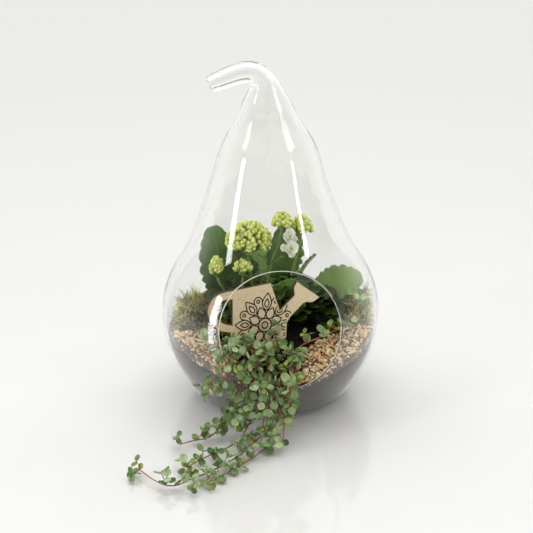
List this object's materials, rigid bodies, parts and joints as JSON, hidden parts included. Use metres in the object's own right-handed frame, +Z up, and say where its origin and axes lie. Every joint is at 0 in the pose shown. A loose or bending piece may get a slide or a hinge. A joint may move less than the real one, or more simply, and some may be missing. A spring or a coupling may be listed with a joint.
{
  "type": "planted terrarium",
  "caption": "Clear glass pear with a bent stem and a round opening in its belly, planted with a budding kalanchoe, moss and a trailing small-leaved plant, with a plywood watering can.",
  "frame": {"origin": "centre of the pear's flat base, on the surface that it stands on", "axes": "+Z up along the pear's axis, -Y out of the round opening, -X towards the tip of the bent stem"},
  "size_m": [0.2661, 0.335, 0.3626],
  "materials": {
    "clear_glass": "polished, clear",
    "potting_soil": "dark, crumbly",
    "beige_grit": "matt grains",
    "moss_green": "matt, stringy",
    "plywood": "raw, burnt edges",
    "leaf_green": "waxy satin",
    "bud_lime": "waxy satin",
    "petal_white": "soft matt",
    "pilea_green": "soft matt"
  },
  "bodies": {
    "root": {"glass_pear": "clear_glass", "soil": "potting_soil", "gravel": "beige_grit", "moss_left": "moss_green", "moss_right": "moss_green", "ornament": "plywood", "kalanchoe_leaf_left": "leaf_green", "kalanchoe_leaf_centre": "leaf_green", "kalanchoe_leaf_right": "leaf_green", "kalanchoe_leaf_middle": "leaf_green", "kalanchoe_leaf_front": "leaf_green", "kalanchoe_leaf_low": "leaf_green", "kalanchoe_leaf_back_left": "leaf_green", "kalanchoe_leaf_back_right": "leaf_green", "kalanchoe_leaf_back": "leaf_green", "kalanchoe_stalk_big": "leaf_green", "kalanchoe_stalk_top": "leaf_green", "kalanchoe_stalk_right": "leaf_green", "kalanchoe_stalk_left": "leaf_green", "kalanchoe_stalk_low": "leaf_green", "kalanchoe_head_big": "bud_lime", "kalanchoe_head_top": "bud_lime", "kalanchoe_head_right": "bud_lime", "kalanchoe_head_left": "bud_lime", "kalanchoe_head_low": "bud_lime", "kalanchoe_flower_upper": "petal_white", "kalanchoe_flower_lower": "petal_white", "pilea_strand_01": "pilea_green", "pilea_strand_02": "pilea_green", "pilea_strand_03": "pilea_green", "pilea_strand_04": "pilea_green", "pilea_strand_05": "pilea_green", "pilea_strand_06": "pilea_green", "pilea_strand_07": "pilea_green", "pilea_strand_08": "pilea_green", "pilea_strand_09": "pilea_green", "pilea_strand_10": "pilea_green", "pilea_strand_11": "pilea_green", "pilea_strand_12": "pilea_green", "pilea_strand_13": "pilea_green", "pilea_strand_14": "pilea_green", "pilea_strand_15": "pilea_green", "pilea_strand_16": "pilea_green", "pilea_strand_17": "pilea_green"}
  },
  "joints": []
}
